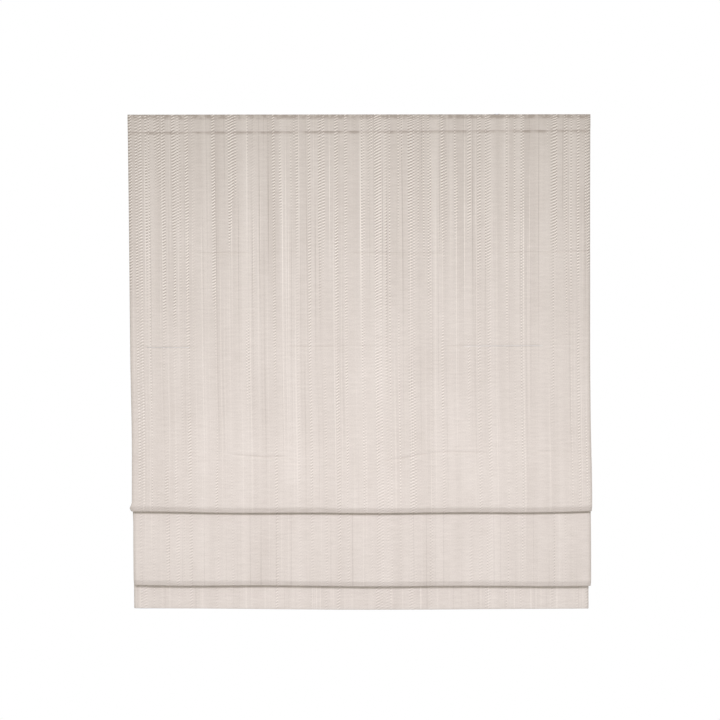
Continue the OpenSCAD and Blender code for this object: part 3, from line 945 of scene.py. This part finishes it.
# %% [markdown]
# ## Ties for the rings
# Three rings on each pocket guide the cords, and each is tied on with a few turns of thread. A bevelled
# curve would do for one tie. There are nine, so the turns are small closed loops of thread in one mesh,
# side by side round the ring and the pocket.

# %% Ring ties
ring_places = (-0.38, 0.0, 0.38)
tie_steps = (-0.0011, 0.0, 0.0011)
tie_out = 0.0036
tie_r = 0.0022
tie_flat = 0.72
thread_r = 0.00032
tie_sides = 18
tie_points = []
tie_faces = []


def add_tie(centre):
    first = len(tie_points)
    for turn in np.linspace(0, math.tau, tie_sides + 1)[:-1]:
        spoke = np.array([0, math.cos(turn), math.sin(turn) * tie_flat])
        for c, s in round_six:
            tie_points.append(centre + spoke * (tie_r + thread_r * c) + np.array([thread_r * s, 0, 0]))
    for ring in range(tie_sides):
        a, b = first + ring * 6, first + (ring + 1) % tie_sides * 6
        for k in range(6):
            n = (k + 1) % 6
            tie_faces.append((a + k, b + k, b + n, a + n))


for rod in (upper_rod, middle_rod, lower_rod):
    for x in ring_places:
        for step in tie_steps:
            add_tie(np.array([x + step, rod[0] + tie_out, rod[1]]))
sewn_piece("ring_ties", tie_points, tie_faces, thread)

# %% [markdown]
# ## Floor, light and camera
# The blind is shown from the front against white, with a pale floor well below it. A wide soft light
# stands in front, higher than the blind, and is tipped down at it. The surround is white behind the blind
# and greyer in front of it: all white would fill the folds with light, and all grey would dull the
# background. The camera looks down very slightly and stands far enough away that the sides stay almost
# upright.

# %% Floor
floor_z = -1.6
floor_half = 3
floor_back = 0.6
floor_mesh = bpy.data.meshes.new("pale_floor")
floor_mesh.from_pydata(
    [(-floor_half, -floor_half, floor_z), (floor_half, -floor_half, floor_z),
     (floor_half, floor_back, floor_z), (-floor_half, floor_back, floor_z)], [], [(0, 1, 2, 3)])
floor = bpy.data.objects.new("pale_floor", floor_mesh)
bpy.context.scene.collection.objects.link(floor)
floor_paint, floor_shader = new_finish("floor_paint")
floor_shader.inputs["Base Color"].default_value = (0.85, 0.85, 0.88, 1)
floor_shader.inputs["Roughness"].default_value = 0.8
floor.data.materials.append(floor_paint)
print("floor at", floor_z)

# %% Surround
world = bpy.data.worlds.new("white_surround")
bpy.context.scene.world = world
world.use_nodes = True
direction = node(world, "ShaderNodeTexCoord")
parts = node(world, "ShaderNodeSeparateXYZ")
link(world, direction, "Generated", parts, "Vector")
walls = node(world, "ShaderNodeMapRange")
walls.inputs["From Min"].default_value = -0.3
walls.inputs["From Max"].default_value = 0.3
link(world, parts, "Y", walls, "Value")
paint = two_colours(world, (0.52, 0.52, 0.48), (1, 1, 1))
link(world, walls, "Result", paint, "Fac")
link(world, paint, "Color", world.node_tree.nodes["Background"], "Color")
print("surround:", world.name)

# %% Light
lamp_data = bpy.data.lights.new("soft_box", "AREA")
lamp_data.shape = "RECTANGLE"
lamp_data.size = 2.0
lamp_data.size_y = 0.5
lamp_data.spread = math.radians(80)
lamp_data.color = (1, 1, 1.15)
lamp_data.energy = 11.8
soft_box = bpy.data.objects.new("soft_box", lamp_data)
soft_box.location = (0, -2.2, 0.40)
soft_box.rotation_euler = (math.radians(55.5), 0, 0)
bpy.context.scene.collection.objects.link(soft_box)
bpy.context.scene.view_settings.view_transform = "Standard"
print("lamp:", soft_box.location)

# %% Camera
picture_wide = 720
pixels_per_metre = 459.7
sensor_wide = 36
camera_far = 2.8
look_down = math.radians(1.9)
camera_roll = math.radians(0.28)
aim_x, aim_z = 0.0001, -0.5152
camera_data = bpy.data.cameras.new("camera")
camera_data.sensor_width = sensor_wide
camera_data.lens = sensor_wide * pixels_per_metre * camera_far / picture_wide
camera = bpy.data.objects.new("camera", camera_data)
camera.location = (
    aim_x, face_y - camera_far * math.cos(look_down), aim_z + camera_far * math.sin(look_down))
camera.rotation_euler = (math.pi / 2 - look_down, camera_roll, 0)
bpy.context.scene.collection.objects.link(camera)
bpy.context.scene.camera = camera
print("lens:", round(camera_data.lens, 1), "mm")
